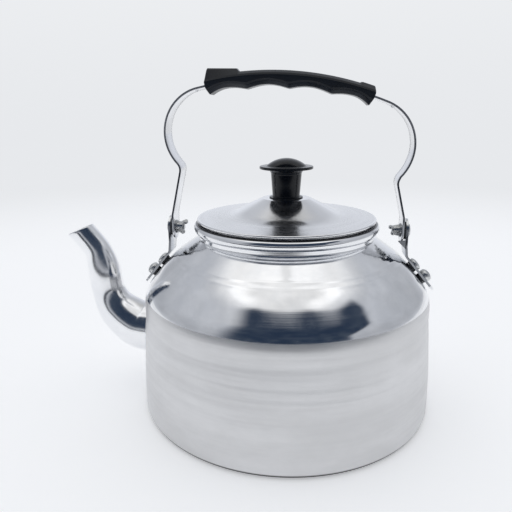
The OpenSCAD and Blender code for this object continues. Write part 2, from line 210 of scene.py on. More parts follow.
def modified(obj, kind, **settings):
    """Adds a modifier and applies it, so that the mesh is final."""
    mod = obj.modifiers.new(kind, kind)
    for key, value in settings.items():
        setattr(mod, key, value)
    bpy.context.view_layer.update()
    mesh = bpy.data.meshes.new_from_object(obj.evaluated_get(bpy.context.evaluated_depsgraph_get()))
    obj.modifiers.clear()
    obj.data = mesh
    return obj


def drilled(obj, tools):
    """Cuts the tools out of obj and removes them."""
    for tool in tools:
        modified(obj, "BOOLEAN", operation="DIFFERENCE", solver="EXACT", object=tool)
        bpy.data.objects.remove(tool)
    return obj


def set_sharp(obj, degrees):
    obj.data.shade_smooth()
    obj.data.set_sharp_from_angle(angle=math.radians(degrees))
    return obj


def axes(x, y, z, origin):
    """A matrix from three axes and an origin in millimetres."""
    matrix = Matrix((x, y, z)).transposed().to_4x4()
    matrix.translation = Vector(origin) * MM
    return matrix


def piece(obj, body, slot, material, *nodes):
    """Gives a finished piece its material and its body, and hides the CAD nodes it stands for; slot is not
    used.
    """
    obj.data.materials.clear()
    obj.data.materials.append(material)
    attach(obj, body)
    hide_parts(*nodes)
    return obj


# ---------------------------------------------------------------- materials

class Nodes:
    """A node tree, with short ways to add to it."""

    def __init__(self, tree):
        self.tree = tree

    def add(self, kind, output=0, settings=None, **links):
        """Adds a node, fills its numbered (i0, i1...) or named inputs, and returns one output."""
        node = self.tree.nodes.new(kind)
        for key, value in (settings or {}).items():
            setattr(node, key, value)
        for key, value in links.items():
            socket = node.inputs[int(key[1:])] if key[1:].isdigit() else node.inputs[key]
            if isinstance(value, bpy.types.NodeSocket):
                self.tree.links.new(value, socket)
            else:
                socket.default_value = value
        return node.outputs[output]

    def math(self, operation, a, b=0.0):
        return self.add("ShaderNodeMath", settings={"operation": operation}, i0=a, i1=b)

    def times(self, a, b):
        return self.math("MULTIPLY", a, b)

    def plus(self, a, b):
        return self.math("ADD", a, b)

    def spread(self, value, low, high, to_low, to_high):
        """Maps value from low..high to to_low..to_high, smoothly and without going past either."""
        return self.add(
            "ShaderNodeMapRange", settings={"interpolation_type": "SMOOTHSTEP"},
            i0=value, i1=low, i2=high, i3=to_low, i4=to_high,
        )

    def rises(self, value, low, high):
        """0 below low and 1 above high."""
        return self.spread(value, low, high, 0.0, 1.0)

    def falls(self, value, low, high):
        """1 below low and 0 above high."""
        return self.spread(value, low, high, 1.0, 0.0)

    def mix(self, share, a, b):
        return self.add(
            "ShaderNodeMix", output=2, settings={"data_type": "RGBA"}, i0=share, i6=a, i7=b,
        )

    def mix_float(self, share, a, b):
        return self.add("ShaderNodeMix", settings={"data_type": "FLOAT"}, i0=share, i2=a, i3=b)

    def mottled(self, pattern, low, high, dark, light):
        """A colour that goes from dark to light as the pattern goes from low to high."""
        return self.mix(self.rises(pattern, low, high), (*dark, 1), (*light, 1))

    def coordinates(self, kind):
        """The x, y and z of one kind of texture coordinates."""
        at = self.add("ShaderNodeTexCoord", output=kind)
        split = self.tree.nodes.new("ShaderNodeSeparateXYZ")
        self.tree.links.new(at, split.inputs[0])
        return tuple(split.outputs)

    def position(self):
        """The piece's own x, y and z."""
        return self.coordinates("Object")

    def radius(self):
        """The distance from the piece's own Z axis."""
        x, y, _ = self.position()
        flat = self.add("ShaderNodeCombineXYZ", i0=x, i1=y, i2=0.0)
        return self.add("ShaderNodeVectorMath", output="Value", settings={"operation": "LENGTH"}, i0=flat)

    def noise(self, x, y, z, w=0.0, scale=1.0, detail=2.0, rough=0.5):
        at = self.add("ShaderNodeCombineXYZ", i0=x, i1=y, i2=z)
        return self.add(
            "ShaderNodeTexNoise", settings={"noise_dimensions": "4D"},
            Vector=at, W=w, Scale=scale, Detail=detail, Roughness=rough,
        )

    def own_noise(self, scale, detail, rough=0.5):
        """Noise fixed to the piece, equally fine every way."""
        return self.noise(*self.position(), scale=scale, detail=detail, rough=rough)

    def turned_noise(self, fine, drift, detail=3.0, rough=0.6):
        """Noise that varies quickly across the turning marks of a lathe-made piece and slowly round it."""
        x, y, z = self.position()
        quick = self.times(self.radius(), fine), self.times(z, fine)
        slow = self.times(x, drift), self.times(y, drift)
        return self.noise(*quick, *slow, detail=detail, rough=rough)


class Surface(Nodes):
    """A material's node tree, with one Principled shader."""

    def __init__(self, name, **sockets):
        self.material = bpy.data.materials.new(name)
        self.material.use_nodes = True
        super().__init__(self.material.node_tree)
        self.shader = self.tree.nodes["Principled BSDF"]
        for key, value in sockets.items():
            self.shader.inputs[key.replace("_", " ").title().replace("Ior", "IOR")].default_value = value

    def link(self, value, socket):
        self.tree.links.new(value, self.shader.inputs[socket])

    def radial_grain(self):
        """Lays the grain that stretches the highlights round the Z axis."""
        tangent = self.add("ShaderNodeTangent", settings={"direction_type": "RADIAL", "axis": "Z"})
        self.link(tangent, "Tangent")

    def bump(self, *heights):
        """Adds bumps in turn; each is (height, distance in metres)."""
        normal = None
        for height, distance in heights:
            links = {"Height": height, "Distance": distance, "Strength": 1.0}
            if normal is not None:
                links["Normal"] = normal
            normal = self.add("ShaderNodeBump", **links)
        self.link(normal, "Normal")


RING_FINE = 2600.0
# Near-black painted shade, for dark gaps and the dark line at the foot.
PAINTED_SHADE = (0.02, 0.021, 0.024)


def scaled(tone, factor):
    """The tone made darker or lighter, at most up to white."""
    return tuple(min(1.0, c * factor) for c in tone)


def spun_metal(name, tone, rough, drift=18.0):
    """Polished metal with the fine rings that turning and buffing leave."""
    n = Surface(name, metallic=1.0, anisotropic=0.5)
    rings = n.turned_noise(RING_FINE, drift)
    blots = n.own_noise(38.0, 3.0)
    scuffs = n.turned_noise(RING_FINE / 6, drift * 4, detail=2.0, rough=0.5)
    n.link(n.mottled(blots, 0.35, 0.65, scaled(tone, 0.93), scaled(tone, 1.03)), "Base Color")
    base = n.spread(blots, 0.3, 0.75, rough * 0.75, rough * 1.35)
    n.link(n.times(base, n.spread(scuffs, 0.35, 0.7, 0.85, 1.5)), "Roughness")
    n.radial_grain()
    n.bump((rings, 4e-6))
    return n.material


def lid_metal():
    """The lid: a polished cone inside a satin outer slope, and painted shade on the underside of the rolled
    edge, over the dark gap to the rim.
    """
    n = Surface("lid_metal", metallic=1.0, anisotropic=0.45)
    z = n.position()[2]
    radius = n.radius()
    rings = n.turned_noise(RING_FINE, 18.0)
    blots = n.own_noise(38.0, 3.0)
    scuffs = n.turned_noise(430.0, 20.0, detail=2.0, rough=0.5)
    metal = n.mottled(blots, 0.35, 0.65, (0.88, 0.883, 0.897), (0.94, 0.945, 0.955))
    # Painted shade: the rolled edge's underside is coloured near-black to stand for the dark gap above the
    # rim.
    edge_low = n.falls(z, (EDGE_Z - 0.9) * MM, (EDGE_Z - 0.5) * MM)
    under = n.times(edge_low, n.rises(radius, (LID_R - 2.5) * MM, (LID_R - 2.0) * MM))
    n.link(n.mix(under, metal, (*PAINTED_SHADE, 1)), "Base Color")
    off_cone = n.rises(radius, (CONE_FOOT[0] - 6.0) * MM, (CONE_FOOT[0] + 2.0) * MM)
    slope = n.times(off_cone, n.falls(radius, (LID_R - 1.8) * MM, (LID_R - 1.2) * MM))
    base = n.plus(n.spread(blots, 0.3, 0.75, 0.11, 0.18), n.times(slope, 0.10))
    n.link(n.times(base, n.spread(scuffs, 0.35, 0.7, 0.94, 1.15)), "Roughness")
    n.radial_grain()
    n.bump((rings, 2e-6))
    return n.material


def shell_metal():
    """The body: polished shoulder, neck and rim over a satin wall with a hazy, blotchy bloom; painted shade
    darkens the rim's top under the lid's edge and a band round the foot.
    """
    n = Surface("shell_metal", metallic=1.0, anisotropic=0.35)
    x, y, z = n.position()
    wall = n.falls(z, (WALL_END_Z + 0.1) * MM, (WALL_END_Z + 1.0) * MM)
    rings = n.turned_noise(RING_FINE, 16.0)
    bands = n.turned_noise(420.0, 9.0, rough=0.55)
    haze = n.noise(x, y, n.times(z, 2.2), scale=17.0, detail=4.0, rough=0.6)
    blots = n.own_noise(60.0, 4.0, 0.65)
    satin = n.mottled(haze, 0.32, 0.7, (0.64, 0.64, 0.645), (0.74, 0.74, 0.747))
    bright = n.mottled(blots, 0.35, 0.7, (0.84, 0.85, 0.87), (0.92, 0.925, 0.935))
    # Painted shade: the rim's top under the lid's edge, where the gap is dark.
    rim_inside = n.falls(n.radius(), (NECK_R + 2.4) * MM, (NECK_R + 3.0) * MM)
    groove_shade = n.times(rim_inside, n.rises(z, (RIM_Z + 1.7) * MM, (RIM_Z + 2.3) * MM))
    # Painted shade: a dark band round the foot, standing for the contact shadow at the base.
    foot = n.falls(z, 2.2 * MM, 3.6 * MM)
    metal = n.mix(wall, bright, satin)
    n.link(n.mix(n.math("MAXIMUM", groove_shade, foot), metal, (*PAINTED_SHADE, 1)), "Base Color")
    satin_rough = n.plus(n.spread(bands, 0.35, 0.7, 0.30, 0.42), n.spread(haze, 0.3, 0.7, 0.0, 0.08))
    bright_rough = n.plus(n.spread(bands, 0.35, 0.75, 0.07, 0.13), n.spread(blots, 0.4, 0.75, 0.0, 0.04))
    n.link(n.mix_float(wall, bright_rough, satin_rough), "Roughness")
    n.radial_grain()
    n.bump((bands, 1.2e-5), (rings, 4e-6))
    return n.material


def drawn_metal(name, tone, rough):
    """Metal strip with grain along its length and cut edges darkened by a painted reflection; the strip's
    width is along Y.
    """
    n = Surface(name, metallic=1.0, anisotropic=0.3)
    x, y, z = n.position()
    lines = n.noise(n.times(x, 25.0), n.times(y, 2400.0), n.times(z, 25.0), detail=3.0, rough=0.6)
    blots = n.own_noise(90.0, 3.0)
    # Painted reflection: the cut edges are coloured dark to stand for the dark room they reflect.
    edge_shade = n.rises(n.math("ABSOLUTE", y), (STRAP_W / 2 - 0.35) * MM, (STRAP_W / 2 - 0.1) * MM)
    faces = n.mottled(blots, 0.3, 0.7, scaled(tone, 0.88), scaled(tone, 1.04))
    n.link(n.mix(edge_shade, faces, (0.30, 0.31, 0.33, 1)), "Base Color")
    base = n.spread(lines, 0.3, 0.7, rough * 0.8, rough * 1.3)
    n.link(n.times(base, n.spread(blots, 0.3, 0.8, 0.9, 1.3)), "Roughness")
    n.bump((lines, 3e-6))
    return n.material


def spout_metal():
    """Polished metal with buffing lines round the spout, by the piece's UV map."""
    n = Surface("spout_metal", metallic=1.0)
    around, along, _ = n.coordinates("UV")
    lines = n.noise(n.times(along, 220.0), n.times(around, 9.0), 0.0, detail=3.0, rough=0.6)
    blots = n.own_noise(55.0, 4.0, 0.6)
    n.link(n.mottled(blots, 0.3, 0.7, (0.84, 0.85, 0.87), (0.93, 0.935, 0.945)), "Base Color")
    n.link(n.plus(n.spread(blots, 0.3, 0.75, 0.13, 0.19), n.spread(lines, 0.4, 0.75, 0.0, 0.04)), "Roughness")
    n.bump((blots, 6e-5), (lines, 6e-6))
    return n.material


def moulded_plastic(name, tone, rough, texture, coat):
    """Black moulded plastic: a fine orange-peel skin with lighter, duller patches."""
    n = Surface(name, ior=1.5, coat_weight=coat, coat_roughness=0.12, specular_ior_level=0.25)
    skin = n.own_noise(1500.0, 3.0, 0.6)
    peel = n.own_noise(260.0, 2.0)
    rubbed = n.own_noise(45.0, 4.0, 0.6)
    light = tuple(c * 1.5 + 0.003 for c in tone)
    n.link(n.mottled(rubbed, 0.35, 0.75, tone, light), "Base Color")
    n.link(n.spread(rubbed, 0.3, 0.75, rough * 0.8, rough * 1.3), "Roughness")
    n.bump((peel, texture), (skin, texture * 0.25))
    return n.material


def cast_metal(name, tone, rough, pit=1.5e-5):
    """Small cast, pressed or plated metal parts: uneven skin with darker patches."""
    n = Surface(name, metallic=1.0)
    skin = n.own_noise(900.0, 4.0, 0.65)
    blots = n.own_noise(260.0, 3.0)
    n.link(n.mottled(blots, 0.3, 0.7, scaled(tone, 0.72), tone), "Base Color")
    n.link(n.spread(skin, 0.3, 0.7, rough * 0.75, rough * 1.35), "Roughness")
    n.bump((skin, pit))
    return n.material


def fibre(name, tone):
    """Washer fibre: matt, with short strands."""
    n = Surface(name)
    x, y, z = n.position()
    strands = n.noise(n.times(x, 3.0), y, z, scale=700.0, detail=4.0, rough=0.7)
    n.link(n.mottled(strands, 0.3, 0.7, tone, scaled(tone, 2.2)), "Base Color")
    n.link(n.spread(strands, 0.3, 0.7, 0.7, 0.95), "Roughness")
    n.bump((strands, 4e-5))
    return n.material


SHELL = shell_metal()
LID_METAL = lid_metal()
INNER_METAL = spun_metal("inner_metal", (0.80, 0.81, 0.83), 0.28)
SPOUT_METAL = spout_metal()
TRIM_METAL = spun_metal("trim_metal", (0.86, 0.865, 0.88), 0.16, drift=120.0)
STRAP_METAL = drawn_metal("strap_metal", (0.84, 0.845, 0.86), 0.16)
BRACKET_METAL = drawn_metal("bracket_metal", (0.80, 0.81, 0.82), 0.2)
RIVET_METAL = cast_metal("rivet_metal", (0.74, 0.75, 0.75), 0.3)
BOLT_METAL = cast_metal("bolt_metal", (0.60, 0.61, 0.62), 0.22)
NUT_METAL = cast_metal("nut_metal", (0.68, 0.69, 0.69), 0.26, pit=2.5e-5)
KNOB_PLASTIC = moulded_plastic("knob_plastic", (0.003, 0.005, 0.009), 0.2, 6e-6, 0.12)
GRIP_PLASTIC = moulded_plastic("grip_plastic", (0.004, 0.007, 0.013), 0.30, 1.6e-5, 0.08)
SEAL_FIBRE = fibre("seal_fibre", (0.09, 0.093, 0.098))


# ---------------------------------------------------------------- body

RIM_HALF = (2.5, 3.3)
RIM_MID_R = NECK_R - SHEET + RIM_HALF[0]
RIM_FOOT_Z = RIM_Z - 2.64
SHOULDER_LOW, SHOULDER_HIGH, NECK_ROOT = (100.3, 84.6), (82.2, 106.4), (60.4, 121)
WALL_LEVELS = np.linspace(6, 69, 19)
RIDGES = ((66.0, 0.02, 1.2), (76.0, 0.12, 0.9), (79.5, 0.10, 1.0))
RIDGES_FROM_Z = 90


def wall_r(z):
    return WALL_TOP_R + (BASE_R - WALL_TOP_R) * math.sin(math.pi / 2 * (1 - z / WALL_END_Z))


def spin_ridge(r):
    """How far the shoulder stands proud of its smooth profile: faint steps left by spinning.
    Each of RIDGES is (radius, height, width)."""
    return sum(h * math.exp(-(((r - at) / w) ** 2)) for at, h, w in RIDGES)


def body_outline():
    """Up the outside, round the rim's ellipse and back down the inside."""
    wall = [(wall_r(z), z) for z in WALL_LEVELS]
    path = rounded(
        [(0, 0), (BASE_R, 0), *wall, SHOULDER_LOW, SHOULDER_HIGH, NECK_ROOT, (NECK_R, RIM_FOOT_Z)],
        [4, *[0] * len(wall), 22, 80, 2], n=24,
    )
    inner = moved(path, SHEET)
    outer = []
    for p, q in zip(dense(path, 0.6), moved(dense(path, 0.6), -1)):
        proud = spin_ridge(p[0]) if p[1] > RIDGES_FROM_Z else 0
        outer.append(p + proud * (q - p))
    start = -math.degrees(math.acos((NECK_R - RIM_MID_R) / RIM_HALF[0]))
    rim = arc((RIM_MID_R, RIM_Z), *RIM_HALF, start, 180, 40)
    return outer + rim[1:] + dense(inner[::-1], 4)


SPOUT_RISE, ROOT_R, SPOUT_GAP = 11.0, 19.1, 0.2
ROOT_AT = np.array([-101.2, 46.3])
ROOT_DIR = direction(SPOUT_RISE) * [-1, 1]
SLOPE_DIR = unit(np.array(SHOULDER_LOW) - np.array(SHOULDER_HIGH))
SLOPE_OUT = left_of(SLOPE_DIR)
RIVET_STEPS = (9.2, 20.2)


def at_spout_root():
    """Local Z points along the spout, out of the body, and local Y is the kettle's."""
    y, z = Vector((0, 1, 0)), Vector((ROOT_DIR[0], 0, ROOT_DIR[1]))
    return axes(y.cross(z), y, z, (ROOT_AT[0], 0, ROOT_AT[1]))


def on_shoulder(side, step):
    """Local Z is the shoulder's normal, at a step down its slope, on the left (-1) or right (1)."""
    at = np.array(SHOULDER_HIGH) + step * SLOPE_DIR
    y, z = Vector((0, 1, 0)), Vector((side * SLOPE_OUT[0], 0, SLOPE_OUT[1]))
    return axes(y.cross(z), y, z, (side * at[0], 0, at[1]))


def rod(r, low, high, matrix, sides):
    """A cylinder from low to high along the matrix's Z, to drill with."""
    tool = lathe("rod", [(0, low), (r, low), (r, high), (0, high)], sides)
    tool.matrix_world = matrix
    return tool


body = lathe("kettle_body", body_outline(), 256, sharp=50)
undrilled = new_object("undrilled", body.data.copy())
drilled(body, [rod(ROOT_R + SPOUT_GAP, -20, 20, at_spout_root(), 96)])
drilled(body, [rod(HOLE_R, -6, 6, on_shoulder(side, step), 32) for side in (-1, 1) for step in RIVET_STEPS])
set_sharp(body, 50)
modified(
    body, "DATA_TRANSFER", object=undrilled, use_loop_data=True,
    data_types_loops={"CUSTOM_NORMAL"}, loop_mapping="POLYINTERP_NEAREST",
)
bpy.data.objects.remove(undrilled)
piece(body, "kettle", "shell", SHELL, "body_shell")


# ---------------------------------------------------------------- spout

SPOUT_SHEET = 1.1
LIP_ROUND = SPOUT_SHEET / 2
SPOUT_LIP, MOUTH_SLOPE = np.array([-162.4, 0.0, 117.8]), 23.0
MOUTH_NORMAL = np.array([-math.sin(math.radians(MOUTH_SLOPE)), 0, math.cos(math.radians(MOUTH_SLOPE))])
# Each point is x, z and the tube's outer radius.
SPOUT_PATH = [
    (*(ROOT_AT - 6 * ROOT_DIR), ROOT_R), (*ROOT_AT, ROOT_R),
    (-114, 49.2, 18), (-127.5, 60, 15), (-134.2, 74, 12.2), (-136.4, 91, 11.7),
    (-140.2, 106, 9.7), (-149.2, 118.6, 9.1), (-158.5, 128.8, 9.6),
]


def tube_point(station, thinner, turn):
    """A point round a station (x, z, radius and the path's direction) of the spout's curve."""
    x, z, r, ax, az = station
    r -= thinner
    return np.array([x + az * r * math.cos(turn), -r * math.sin(turn), z - ax * r * math.cos(turn)])


def spout_mesh():
    """Outer and inner skin, each cut off at the mouth's plane, and a round lip between them."""
    sides, rows = 96, 110
    line = np.array(smooth(SPOUT_PATH, 16))
    slope = np.gradient(line[:, :2], axis=0)
    slope /= np.linalg.norm(slope, axis=1)[:, None]
    stations = np.hstack([line, slope])
    grids = []
    for thinner in (0.0, SPOUT_SHEET):
        columns = []
        for k in range(sides):
            track = np.array([tube_point(s, thinner, TAU * k / sides) for s in stations])
            past = (track - SPOUT_LIP) @ MOUTH_NORMAL + LIP_ROUND
            end = int(np.argmax(past > 0))
            share = past[end - 1] / (past[end - 1] - past[end])
            reach = np.linspace(0, end - 1 + share, rows)
            columns.append(np.array([np.interp(reach, range(len(track)), track[:, i]) for i in range(3)]).T)
        grids.append(np.array(columns).transpose(1, 0, 2))
    outer, inner = grids
    rings = list(outer)
    middle, across = (outer[-1] + inner[-1]) / 2, (outer[-1] - inner[-1]) / 2
    for a in (30, 60, 90, 120, 150):
        c, s = direction(a)
        rings.append(middle + across * c + MOUTH_NORMAL * LIP_ROUND * s)
    rings += list(inner[::-1])
    return loft("spout_tube", rings, closed=True, sharp=60)


piece(spout_mesh(), "kettle", "spout", SPOUT_METAL, "spout")


def wall_ring(name, near, far, width):
    """A ring round the spout's root that follows the wall, from near to far outside it."""
    sides, low_r = 128, ROOT_R + SPOUT_GAP
    across, along = np.array([-ROOT_DIR[1], 0, ROOT_DIR[0]]), np.array([ROOT_DIR[0], 0, ROOT_DIR[1]])
    root = np.array([ROOT_AT[0], 0, ROOT_AT[1]])
    mid_r, mid_d = low_r + width / 2, (near + far) / 2
    section = []
    for a in range(0, 360, 15):
        c, s = direction(a)
        round_c = math.copysign(abs(c) ** 0.6, c)
        round_s = math.copysign(abs(s) ** 0.8, s)
        section.append((mid_r + width / 2 * round_c, mid_d + (far - near) / 2 * round_s))
    rings = []
    for k in range(sides):
        turn = TAU * k / sides
        ring = []
        for r, d in section:
            start = root + r * (math.cos(turn) * across + math.sin(turn) * np.array([0, 1, 0]))
            low, high = -20.0, 20.0
            for _ in range(30):
                mid = (low + high) / 2
                p = start + mid * along
                if math.hypot(p[0], p[1]) < wall_r(p[2]) + d:
                    low = mid
                else:
                    high = mid
            ring.append(start + low * along)
        rings.append(ring)
    return loft(name, rings, closed=True, sharp=50)


piece(wall_ring("spout_flange", 0.05, 1.25, 2.2), "kettle", "trim", TRIM_METAL, "spout_collar")
inner_ring = wall_ring("spout_inner_ring", -SHEET - 1.1, -SHEET - 0.1, 3.2)
piece(inner_ring, "kettle", "trim", TRIM_METAL, "spout_lock_ring")


# ---------------------------------------------------------------- lid and knob

def lid_outline():
    """Out over the top, round the rolled edge and back along the underside."""
    foot = (LID_R - EDGE_R, EDGE_Z + EDGE_R)
    top = rounded([foot, CONE_FOOT, CONE_HEAD, (2.2, LID_TOP_Z)], [30, 4], n=20)
    under = moved(top, LID_SHEET)
    keep = [p for p in under if p[0] < LID_R - EDGE_R - 0.6]
    edge = arc((LID_R - EDGE_R, EDGE_Z), EDGE_R, EDGE_R, 90, -165, 24)
    return dense(top[::-1], 0.8) + edge[1:] + dense(keep, 3)


lid = lathe("lid_cover", lid_outline(), 224, sharp=50)
piece(lid, "lid", "lid", LID_METAL, "lid_shell")

SKIRT_R, SKIRT_LOW_Z, FLANGE_R = 59.0, 123.0, 52


def skirt_outline():
    """The skirt inside the neck, its ledge on the rim, and the flange under the lid's slope."""
    seat_z = EDGE_Z + EDGE_R - LID_SHEET
    ledge_r = LID_R - 2 * EDGE_R - 0.1
    ledge_z = RIM_Z + RIM_HALF[1] * math.sqrt(1 - ((RIM_MID_R - ledge_r) / RIM_HALF[0]) ** 2) + GAP
    path = [
        (SKIRT_R, SKIRT_LOW_Z), (SKIRT_R, ledge_z), (ledge_r, ledge_z),
        (ledge_r, seat_z - GAP), (FLANGE_R, seat_z + 0.7),
    ]
    path = [np.array(p, float) for p in path]
    return path + moved(path, LID_SHEET)[::-1]


piece(lathe("lid_inner_skirt", skirt_outline(), 192, sharp=50), "lid", "lid", INNER_METAL, "lid_skirt")

KNOB_R = 18.4


def knob_outline():
    """Thin foot, tapered stem, flare, brim and dome, with their heights counted from the lid's flat top."""
    brim_z, flare_r, dome_r, dome_top_z, bore_z = 20.3, 4.0, 20.9, 26.9, 13
    foot = rounded([(HOLE_R, 0), (11.6, 0), (11.6, 0.7), (9.4, 0.9), (10.0, 9.0)], [0.2, 0.3, 0.8], n=6)
    flare = arc((10.5 + flare_r, brim_z - 0.7 - flare_r), flare_r, flare_r, 180, 94, 36)
    brim = rounded(
        [flare[-1], (KNOB_R, brim_z - 0.6), (KNOB_R, brim_z + 1.3), (14.6, brim_z + 1.2)],
        [0.45, 0.6], n=8,
    )
    dome = arc((0, dome_top_z - dome_r), dome_r, dome_r, 49, 90, 40)
    valley = rounded([brim[-2], brim[-1], dome[0], dome[1]], [0.0, 0.3], n=4)
    inside = [(0, dome_top_z), (0, bore_z), (HOLE_R, bore_z)]
    line = [*foot, *flare, *brim[1:-1], *valley[1:-1], *dome[1:-1], *inside]
    return [(r, z + LID_TOP_Z) for r, z in line]


knob = lathe("lid_grip_knob", knob_outline(), 128, sharp=40)
piece(knob, "lid", "black_plastic", KNOB_PLASTIC, "lid_knob")


def ring_outline(inner, outer, low, high, edge=0.15):
    """The outline of a flat washer with softened edges."""
    return [
        (inner + edge, low), (outer - edge, low), (outer, low + edge), (outer, high - edge),
        (outer - edge, high), (inner + edge, high), (inner, high - edge), (inner, low + edge),
    ]


under_top = LID_TOP_Z - LID_SHEET
head_top = under_top - 1
knob_washer = lathe("knob_screw_washer", ring_outline(2.15, 7, head_top, under_top), 64)
piece(knob_washer, "lid", "hardware", BOLT_METAL, "knob_washer")
screw = lathe("knob_fixing_screw", [
    (0, head_top - 2.4), (2.7, head_top - 2.4), (3.2, head_top - 2.1), (3.75, head_top - 0.2),
    (3.75, head_top), (2, head_top), (2, head_top + 11.6), (1.6, head_top + 12), (0, head_top + 12)], 48)
slot_tool = mesh_object(
    "slot", [(x, y, z) for x in (-5, 5) for y in (-0.5, 0.5) for z in (head_top - 4, head_top - 1.4)],
    [(0, 1, 3, 2), (4, 5, 7, 6), (0, 1, 5, 4), (2, 3, 7, 6), (0, 2, 6, 4), (1, 3, 7, 5)])
drilled(screw, [slot_tool])
piece(set_sharp(screw, 30), "lid", "hardware", BOLT_METAL, "knob_screw")


# ---------------------------------------------------------------- handle and brackets

PIVOT_Z, STRAP_T = 125.4, 1.4
STRAP_END_R = STRAP_W / 2 + 0.3
STRAP_OUT_X, PAD_TOP_Z = 80.2, 135.0
ARCH_R, BEND_R = 209.0, 30.3
ARCH_C = np.array([-12.9, 225.55 - ARCH_R])
ARCH_LEFT_A, ARCH_RIGHT_A = 102.7, 68.2
LEFT_BEND_C = ARCH_C + (ARCH_R - BEND_R) * direction(ARCH_LEFT_A)
RIGHT_BEND_C = ARCH_C + (ARCH_R - BEND_R) * direction(ARCH_RIGHT_A)
KINK_LEFT, KINK_RIGHT = (-72.6, 168), (74.4, 158.6)
END_SPARE, TAB_SPARE = 12.0, 3
BRACKET_T, SEAL_T, SPACER_T = 1.5, 1.2, 1.4
SPACER_X = STRAP_OUT_X + GAP
BRACKET_IN_X = SPACER_X + SPACER_T
BRACKET_OUT_X = BRACKET_IN_X + BRACKET_T


def strip(name, path, thickness, end_low, end_high, holes):
    """A strip bent along a path in the XZ plane, with its width along Y and its thickness to the path's left.
    Its ends are arcs whose centres are end_low and end_high along it. holes are distances along it."""
    edge_round = 0.32
    path = [np.array(p, float) for p in path]
    steps = steps_of(path)
    along = np.cumsum([0.0, *steps])
    spread = math.degrees(math.asin(STRAP_W / 2 / STRAP_END_R))
    end_arc = [direction(a) * STRAP_END_R for a in np.linspace(-spread, spread, 25)]
    outline = [(end_low - u, v) for u, v in end_arc[::-1]] + [(end_high + u, v) for u, v in end_arc]
    n = len(outline)
    verts = [(s, y, t) for t in (0, thickness) for s, y in outline]
    faces = [list(range(n))[::-1], list(range(n, 2 * n))]
    faces += [[k, (k + 1) % n, n + (k + 1) % n, n + k] for k in range(n)]
    obj = mesh_object(name, verts, faces)
    for s in holes:
        place = Matrix.Translation(Vector((s, 0, 0)) * MM)
        drilled(obj, [rod(HOLE_R, -4, thickness + 4, place, 48)])
    modified(
        obj, "BEVEL", width=edge_round * MM, segments=3,
        limit_method="ANGLE", angle_limit=math.radians(50),
    )
    bm = bmesh.new()
    bm.from_mesh(obj.data)
    for s in along[1:-1]:
        if end_low - STRAP_END_R < s < end_high + STRAP_END_R:
            everything = bm.verts[:] + bm.edges[:] + bm.faces[:]
            bmesh.ops.bisect_plane(
                bm, geom=everything, dist=1e-8, plane_co=(s * MM, 0, 0), plane_no=(1, 0, 0))
    normals = moved(path, 1)
    for v in bm.verts:
        s, t = v.co.x / MM, v.co.z / MM
        i = int(np.clip(np.searchsorted(along, s, "right") - 1, 0, len(path) - 2))
        share = (s - along[i]) / steps[i]
        base = path[i] + (path[i + 1] - path[i]) * share
        out = (normals[i] - path[i]) * (1 - share) + (normals[i + 1] - path[i + 1]) * share
        x, z = base + t * out
        v.co = Vector((x, v.co.y / MM, z)) * MM
    bmesh.ops.recalc_face_normals(bm, faces=bm.faces)
    bm.to_mesh(obj.data)
    bm.free()
    return set_sharp(obj, 40)


def handle_path():
    """The strap's outer face, from its left end over the top to its right end."""
    ends = [(-STRAP_OUT_X, PIVOT_Z - END_SPARE), (-STRAP_OUT_X, PAD_TOP_Z), KINK_LEFT]
    top = (
        arc(LEFT_BEND_C, BEND_R, BEND_R, 222, ARCH_LEFT_A, 40)
        + arc(ARCH_C, ARCH_R, ARCH_R, ARCH_LEFT_A - 1.5, ARCH_RIGHT_A + 1.5, 36)
        + arc(RIGHT_BEND_C, BEND_R, BEND_R, ARCH_RIGHT_A, -42, 40)
    )
    far_end = [KINK_RIGHT, (STRAP_OUT_X, PAD_TOP_Z), (STRAP_OUT_X, PIVOT_Z - END_SPARE)]
    return rounded([*ends, *top, *far_end], [12, 6, *[0] * len(top), 6, 12], n=12)


strap_path = handle_path()
strap_ends = (END_SPARE, sum(steps_of(strap_path)) - END_SPARE)
strap = strip("handle_strip", strap_path, -STRAP_T, *strap_ends, strap_ends)

for bend_c, at in ((LEFT_BEND_C, ARCH_LEFT_A + 4), (RIGHT_BEND_C, ARCH_RIGHT_A - 9)):
    spot = bend_c + (BEND_R - STRAP_T + 0.5) * direction(at)
    bump = lathe("grip_stop", arc((0, 0), 1.6, 1.6, -90, 90, 20), 32)
    bump.matrix_world = Matrix.Translation(Vector((spot[0], 0, spot[1])) * MM)
    modified(strap, "BOOLEAN", operation="UNION", solver="EXACT", object=bump)
    bpy.data.objects.remove(bump)
set_sharp(strap, 40)
piece(strap, "handle", "strap", STRAP_METAL, "handle_strap")

BRACKET_BEND_X, TAB_END_STEP = 82.5, 31.5
tab_line = np.array(SHOULDER_HIGH) + SEAL_T * SLOPE_OUT
bend_step = (BRACKET_BEND_X - tab_line[0]) / SLOPE_DIR[0]


def bracket(name, side):
    """An upright plate beside the pivot and a tab down the shoulder, on the left (-1) or right (1)."""
    path_end_step = TAB_END_STEP + TAB_SPARE
    path = rounded(
        [(BRACKET_IN_X, PIVOT_Z + END_SPARE), (BRACKET_IN_X, PIVOT_Z - 10),
         tab_line + bend_step * SLOPE_DIR, tab_line + path_end_step * SLOPE_DIR],
        [8, 2.5], n=10,
    )
    length = sum(steps_of(path))
    tab_end = length - TAB_SPARE - STRAP_END_R
    holes = [END_SPARE] + [length - path_end_step + step for step in RIVET_STEPS]
    if side < 0:
        path = [p * np.array([-1, 1]) for p in path]
    return strip(name, path, side * BRACKET_T, END_SPARE, tab_end, holes)


left_bracket = bracket("bracket_plate_left", -1)
right_bracket = bracket("bracket_plate_right", 1)
piece(left_bracket, "kettle", "strap", BRACKET_METAL, "bracket_left")

